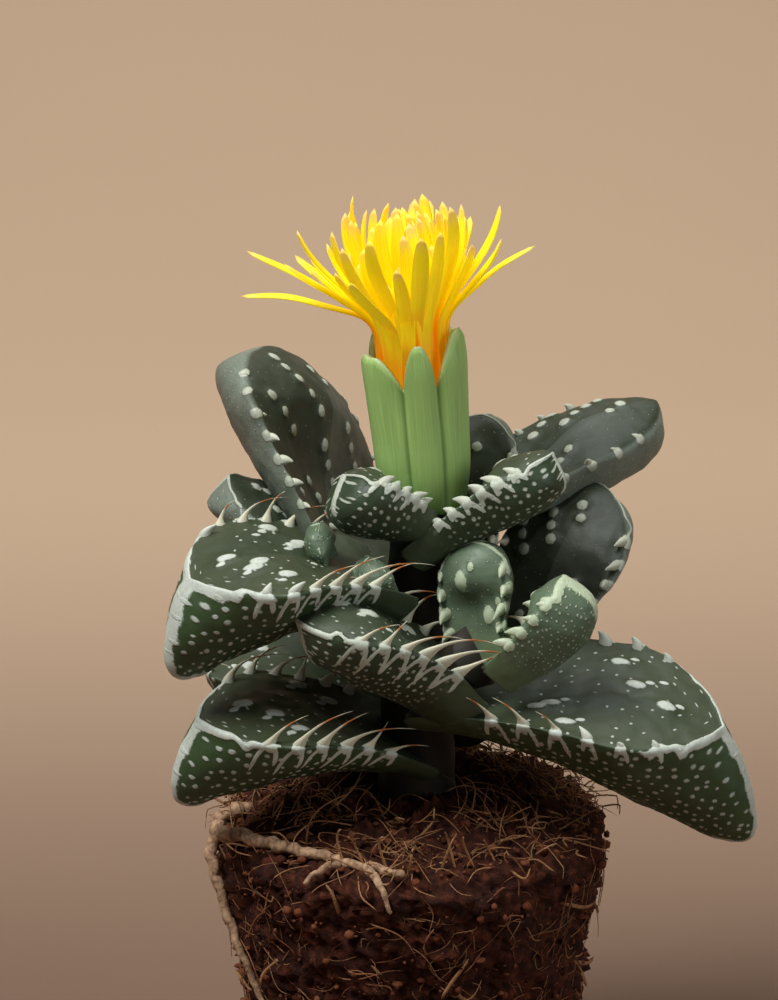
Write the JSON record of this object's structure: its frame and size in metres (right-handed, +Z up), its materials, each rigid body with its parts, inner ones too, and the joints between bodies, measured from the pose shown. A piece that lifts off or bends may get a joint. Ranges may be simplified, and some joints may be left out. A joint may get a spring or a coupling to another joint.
{
  "type": "potted tiger jaws",
  "caption": "Small succulent with thick toothed leaves and a yellow many-petalled flower, standing on a bare root ball shaped by its pot.",
  "frame": {"origin": "centre of the root ball's flat underside", "axes": "+Z up along the root ball's axis to the flower, -Y towards the side that the picture shows"},
  "size_m": [0.0767, 0.0659, 0.1342],
  "materials": {
    "leaf": "waxy, satin",
    "young_leaf": "waxy, satin",
    "stem_green": "matt",
    "calyx": "waxy, satin",
    "petal": "satin",
    "stamen": "powdery",
    "coir": "rough, fibrous",
    "pale_root": "dry, matt"
  },
  "bodies": {
    "root": {"root_ball": "coir", "surface_root_front": "pale_root", "surface_root_left": "pale_root", "stem": "stem_green", "leaf_small_left": "young_leaf", "leaf_small_front": "young_leaf", "leaf_low_right": "leaf", "leaf_low_left": "leaf", "leaf_mid_left": "leaf", "leaf_mid_front": "leaf", "leaf_back_left": "leaf", "leaf_back_right": "leaf", "leaf_mid_right": "leaf", "leaf_inner_right": "leaf", "leaf_inner_left": "young_leaf", "leaf_young_left": "young_leaf", "leaf_young_right": "young_leaf", "leaf_inner_back": "leaf", "leaf_far_left": "leaf", "leaf_low_back_right": "leaf", "leaf_low_back_left": "leaf", "leaf_mid_back": "leaf", "calyx": "calyx", "petals": "petal", "stamens": "stamen"}
  },
  "joints": []
}
